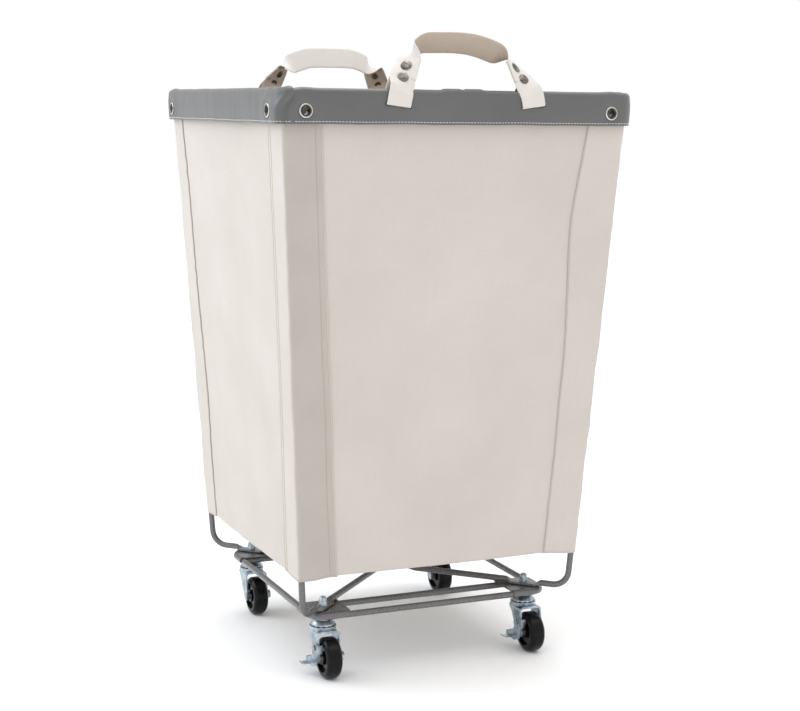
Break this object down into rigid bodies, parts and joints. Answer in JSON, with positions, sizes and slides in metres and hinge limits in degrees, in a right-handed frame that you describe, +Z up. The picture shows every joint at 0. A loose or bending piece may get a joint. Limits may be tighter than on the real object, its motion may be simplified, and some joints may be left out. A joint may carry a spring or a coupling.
{
  "type": "canvas laundry hamper cart",
  "caption": "Tall square canvas laundry hamper that tapers to the floor, with a vinyl-bound wire rim, strap handles, a steel rod frame and swivel casters with foot brakes.",
  "frame": {"origin": "on the floor, under the middle of the bag", "axes": "+X to the right along the front, +Y to the back, +Z up"},
  "size_m": [0.4592, 0.4608, 0.775],
  "materials": {
    "powder_coat": "satin grey powder coat",
    "vinyl": "grey coated vinyl, soft sheen",
    "canvas": "plain woven natural cotton canvas",
    "strap": "natural cotton webbing",
    "nickel": "polished nickel plate",
    "wheel": "black moulded hard rubber",
    "bush": "turned steel",
    "ball_steel": "polished",
    "zinc": "bright zinc plate"
  },
  "bodies": {
    "cart": {"rim_wire": "powder_coat", "rim_wire_ferrule": "zinc", "rim_binding": "vinyl", "front_panel": "canvas", "back_panel": "canvas", "left_panel": "canvas", "right_panel": "canvas", "bottom_panel": "canvas", "corner_sleeve_fl": "canvas", "corner_sleeve_fr": "canvas", "corner_sleeve_rl": "canvas", "corner_sleeve_rr": "canvas", "corner_eyelets": "nickel", "u_rod_fl_rr": "powder_coat", "u_rod_fr_rl": "powder_coat", "base_ring": "powder_coat", "front_cross_rod": "powder_coat", "rear_cross_rod": "powder_coat", "corner_plate_fl": "powder_coat", "corner_plate_fr": "powder_coat", "corner_plate_rl": "powder_coat", "corner_plate_rr": "powder_coat", "cap_nuts": "zinc", "caster_stems": "zinc", "upper_races": "zinc", "front_handle_loops": "strap", "rear_handle_loops": "strap"},
    "swivel_fl": {"fork_fl": "zinc", "balls_fl": "ball_steel", "axle_fl": "zinc", "brake_rivet_fl": "zinc"},
    "roller_fl": {"wheel_fl": "wheel", "bush_fl": "bush"},
    "brake_fl": {"brake_lever_fl": "zinc"},
    "swivel_fr": {"fork_fr": "zinc", "balls_fr": "ball_steel", "axle_fr": "zinc", "brake_rivet_fr": "zinc"},
    "roller_fr": {"wheel_fr": "wheel", "bush_fr": "bush"},
    "brake_fr": {"brake_lever_fr": "zinc"},
    "swivel_rl": {"fork_rl": "zinc", "balls_rl": "ball_steel", "axle_rl": "zinc"},
    "roller_rl": {"wheel_rl": "wheel", "bush_rl": "bush"},
    "swivel_rr": {"fork_rr": "zinc", "balls_rr": "ball_steel", "axle_rr": "zinc"},
    "roller_rr": {"wheel_rr": "wheel", "bush_rr": "bush"},
    "front_handle": {"front_handle_strap": "strap", "front_handle_rivets": "nickel"},
    "rear_handle": {"rear_handle_strap": "strap", "rear_handle_rivets": "nickel"}
  },
  "joints": [
    {"name": "swivel_turn_fl", "type": "hinge", "parent": "cart", "child": "swivel_fl", "pos_m": [-0.1383, -0.1383, 0.0592], "axis": [0, 0, 1], "continuous": true},
    {"name": "wheel_spin_fl", "type": "hinge", "parent": "swivel_fl", "child": "roller_fl", "pos_m": [-0.1383, -0.1598, 0.0254], "axis": [1, 0, 0], "continuous": true},
    {"name": "brake_press_fl", "type": "hinge", "parent": "swivel_fl", "child": "brake_fl", "pos_m": [-0.1555, -0.1563, 0.0385], "axis": [1, 0, 0], "range_deg": [-11, 3]},
    {"name": "swivel_turn_fr", "type": "hinge", "parent": "cart", "child": "swivel_fr", "pos_m": [0.1383, -0.1383, 0.0592], "axis": [0, 0, 1], "continuous": true},
    {"name": "wheel_spin_fr", "type": "hinge", "parent": "swivel_fr", "child": "roller_fr", "pos_m": [0.1383, -0.1598, 0.0254], "axis": [1, 0, 0], "continuous": true},
    {"name": "brake_press_fr", "type": "hinge", "parent": "swivel_fr", "child": "brake_fr", "pos_m": [0.1211, -0.1563, 0.0385], "axis": [1, 0, 0], "range_deg": [-11, 3]},
    {"name": "swivel_turn_rl", "type": "hinge", "parent": "cart", "child": "swivel_rl", "pos_m": [-0.1383, 0.1383, 0.0592], "axis": [0, 0, 1], "continuous": true},
    {"name": "wheel_spin_rl", "type": "hinge", "parent": "swivel_rl", "child": "roller_rl", "pos_m": [-0.1383, 0.1168, 0.0254], "axis": [1, 0, 0], "continuous": true},
    {"name": "swivel_turn_rr", "type": "hinge", "parent": "cart", "child": "swivel_rr", "pos_m": [0.1383, 0.1383, 0.0592], "axis": [0, 0, 1], "continuous": true},
    {"name": "wheel_spin_rr", "type": "hinge", "parent": "swivel_rr", "child": "roller_rr", "pos_m": [0.1383, 0.1168, 0.0254], "axis": [1, 0, 0], "continuous": true},
    {"name": "front_handle_swing", "type": "hinge", "parent": "cart", "child": "front_handle", "pos_m": [0.003, -0.2227, 0.713], "axis": [1, 0, 0], "range_deg": [-62, 80]},
    {"name": "rear_handle_swing", "type": "hinge", "parent": "cart", "child": "rear_handle", "pos_m": [0, 0.2227, 0.713], "axis": [-1, 0, 0], "range_deg": [-66, 84]}
  ]
}
